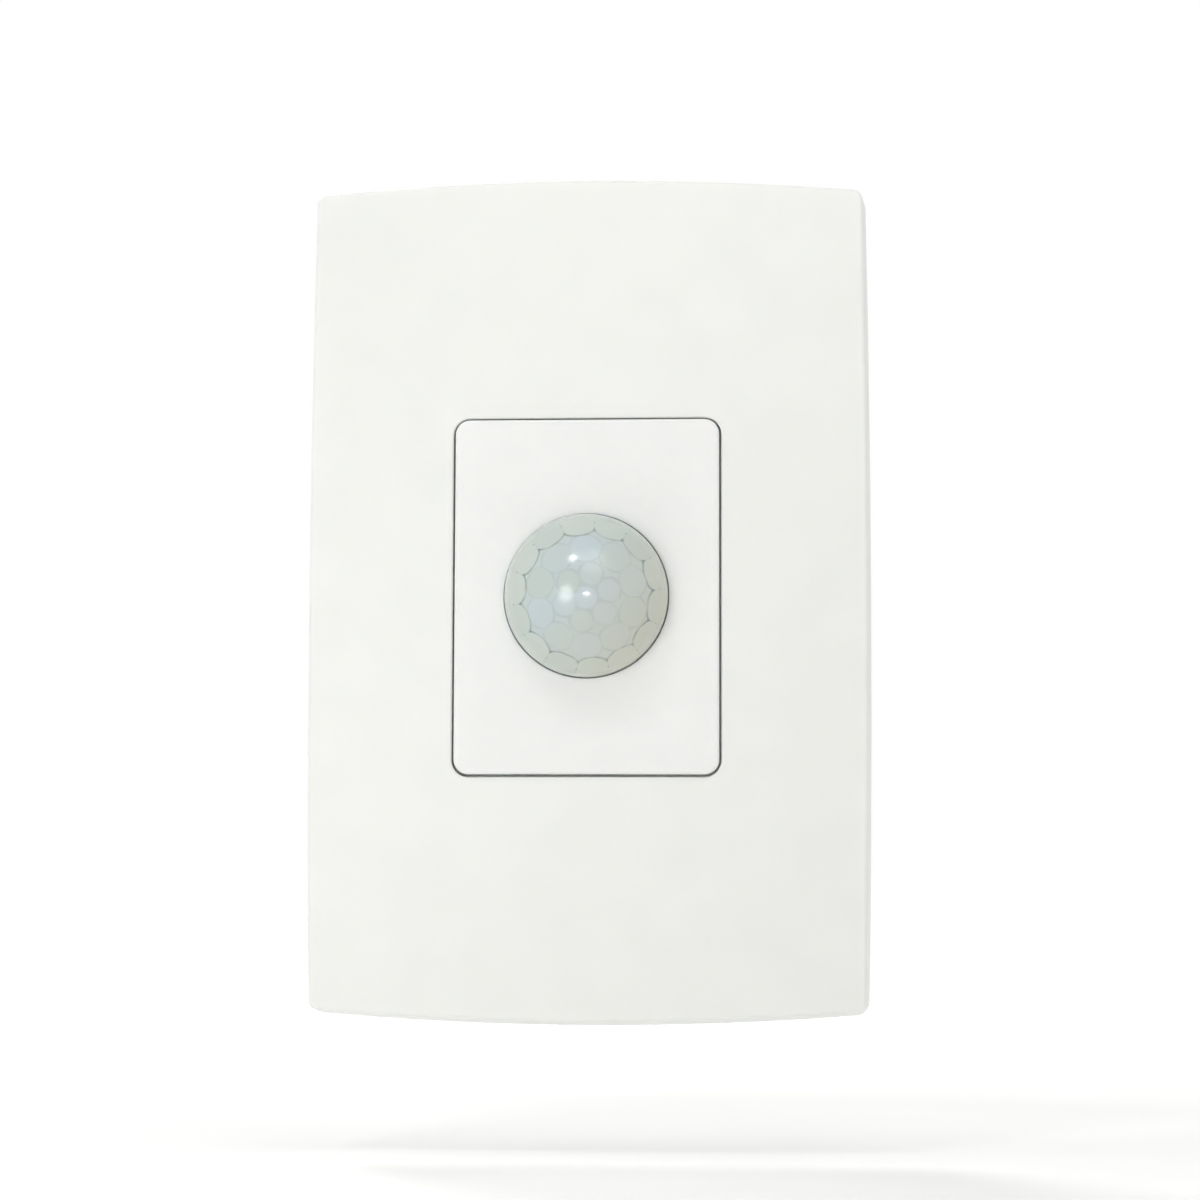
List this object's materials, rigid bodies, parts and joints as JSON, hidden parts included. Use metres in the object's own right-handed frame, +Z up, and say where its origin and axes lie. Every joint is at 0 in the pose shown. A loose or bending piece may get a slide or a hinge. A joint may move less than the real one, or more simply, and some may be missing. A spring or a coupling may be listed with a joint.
{
  "type": "motion sensor switch",
  "caption": "Wall-box motion sensor switch with a half-round translucent lens in a rectangular insert, behind a clip-on bowed cover plate.",
  "frame": {"origin": "centre of the two box-screw slots, on the plane of the wall", "axes": "+Z up along the plate's long side, +X to the right seen from the room, -Y out into the room"},
  "size_m": [0.08, 0.0464, 0.12],
  "materials": {
    "plate_abs": "glossy white moulded ABS",
    "bezel_abs": "satin-gloss white moulded ABS",
    "lens_hdpe": "milky translucent HDPE",
    "frame_plastic": "matt light grey plastic",
    "housing_plastic": "matt off-white flame-retardant plastic",
    "terminal_plastic": "matt green polyamide",
    "board_laminate": "green solder mask on laminate",
    "black_resin": "matt black moulding resin",
    "blue_plastic": "glossy blue plastic",
    "yellow_plastic": "glossy yellow plastic",
    "blue_lacquer": "epoxy lacquer",
    "resistor_lacquer": "beige resistor lacquer",
    "red_epoxy": "clear red epoxy",
    "photocell_ceramic": "coated ceramic",
    "can_sleeve": "black shrink sleeve",
    "trimmer_plastic": "blue moulded plastic",
    "rotor_plastic": "white moulded plastic",
    "zinc_steel": "zinc-plated steel",
    "nickel_can": "nickel-plated steel can",
    "filter_glass": "dark infrared filter",
    "tinned_wire": "tinned wire",
    "soft_iron": "nickel-plated soft iron",
    "brass_contact": "brass",
    "copper_winding": "enamelled copper wire",
    "ceramic_element": "pyroelectric ceramic"
  },
  "bodies": {
    "base": {"module_bezel": "bezel_abs", "dome_lens": "lens_hdpe", "support_frame": "frame_plastic", "lens_retainer": "frame_plastic", "rear_housing": "housing_plastic", "housing_screws": "zinc_steel", "main_board": "board_laminate", "sensor_can": "nickel_can", "sensor_window": "filter_glass", "sensor_base": "nickel_can", "sensor_elements": "ceramic_element", "sensor_leads": "tinned_wire", "sensor_spacer": "black_resin", "photocell": "photocell_ceramic", "indicator_led": "red_epoxy", "control_chip": "black_resin", "chip_pins": "tinned_wire", "relay_base": "black_resin", "relay_case": "blue_plastic", "relay_bobbin": "black_resin", "relay_winding": "copper_winding", "relay_core": "soft_iron", "relay_yoke": "soft_iron", "relay_fixed_contact": "brass_contact", "film_capacitor": "yellow_plastic", "filter_capacitor": "can_sleeve", "timing_capacitors": "can_sleeve", "rectifier_diodes": "black_resin", "resistors": "resistor_lacquer", "voltage_regulator": "black_resin", "driver_transistor": "black_resin", "surge_varistor": "blue_lacquer", "mains_fuse": "black_resin", "time_trimmer_body": "trimmer_plastic", "light_trimmer_body": "trimmer_plastic", "terminal_block": "terminal_plastic", "terminal_contacts": "brass_contact"},
    "cover": {"cover_plate": "plate_abs"},
    "time_rotor": {"time_trimmer_rotor": "rotor_plastic"},
    "light_rotor": {"light_trimmer_rotor": "rotor_plastic"},
    "armature": {"relay_armature": "soft_iron", "relay_moving_contact": "brass_contact"},
    "screw_1": {"terminal_screw_1": "zinc_steel"},
    "clamp_1": {"terminal_clamp_1": "zinc_steel"},
    "screw_2": {"terminal_screw_2": "zinc_steel"},
    "clamp_2": {"terminal_clamp_2": "zinc_steel"},
    "screw_3": {"terminal_screw_3": "zinc_steel"},
    "clamp_3": {"terminal_clamp_3": "zinc_steel"}
  },
  "joints": [
    {"name": "cover_pull_off", "type": "slide", "parent": "base", "child": "cover", "axis": [0, -1, 0], "range_m": [0, 0.024]},
    {"name": "time_trimmer_turn", "type": "hinge", "parent": "base", "child": "time_rotor", "pos_m": [-0.009, 0, -0.0282], "axis": [0, -1, 0], "range_deg": [-135, 135]},
    {"name": "light_trimmer_turn", "type": "hinge", "parent": "base", "child": "light_rotor", "pos_m": [0.009, 0, -0.0282], "axis": [0, -1, 0], "range_deg": [-135, 135]},
    {"name": "armature_pull_in", "type": "hinge", "parent": "base", "child": "armature", "pos_m": [-0.0104, 0.0172, 0.0046], "axis": [1, 0, 0], "range_deg": [0, 3.5], "stiffness_Nm_per_rad": 0.01, "springref_deg": -5.73},
    {"name": "terminal_screw_1_turn", "type": "hinge", "parent": "base", "child": "screw_1", "pos_m": [-0.009, 0.016, -0.0264], "axis": [0, -1, 0], "range_deg": [0, 1440]},
    {"name": "terminal_clamp_1_rise", "type": "slide", "parent": "base", "child": "clamp_1", "axis": [0, 1, 0], "range_m": [0, 0.002]},
    {"name": "terminal_screw_2_turn", "type": "hinge", "parent": "base", "child": "screw_2", "pos_m": [0, 0.016, -0.0264], "axis": [0, -1, 0], "range_deg": [0, 1440]},
    {"name": "terminal_clamp_2_rise", "type": "slide", "parent": "base", "child": "clamp_2", "axis": [0, 1, 0], "range_m": [0, 0.002]},
    {"name": "terminal_screw_3_turn", "type": "hinge", "parent": "base", "child": "screw_3", "pos_m": [0.009, 0.016, -0.0264], "axis": [0, -1, 0], "range_deg": [0, 1440]},
    {"name": "terminal_clamp_3_rise", "type": "slide", "parent": "base", "child": "clamp_3", "axis": [0, 1, 0], "range_m": [0, 0.002]}
  ],
  "couplings": [
    {"joint": "terminal_screw_1_turn", "follows": "terminal_clamp_1_rise", "rad_per_m": 12566},
    {"joint": "terminal_screw_2_turn", "follows": "terminal_clamp_2_rise", "rad_per_m": 12566},
    {"joint": "terminal_screw_3_turn", "follows": "terminal_clamp_3_rise", "rad_per_m": 12566}
  ]
}
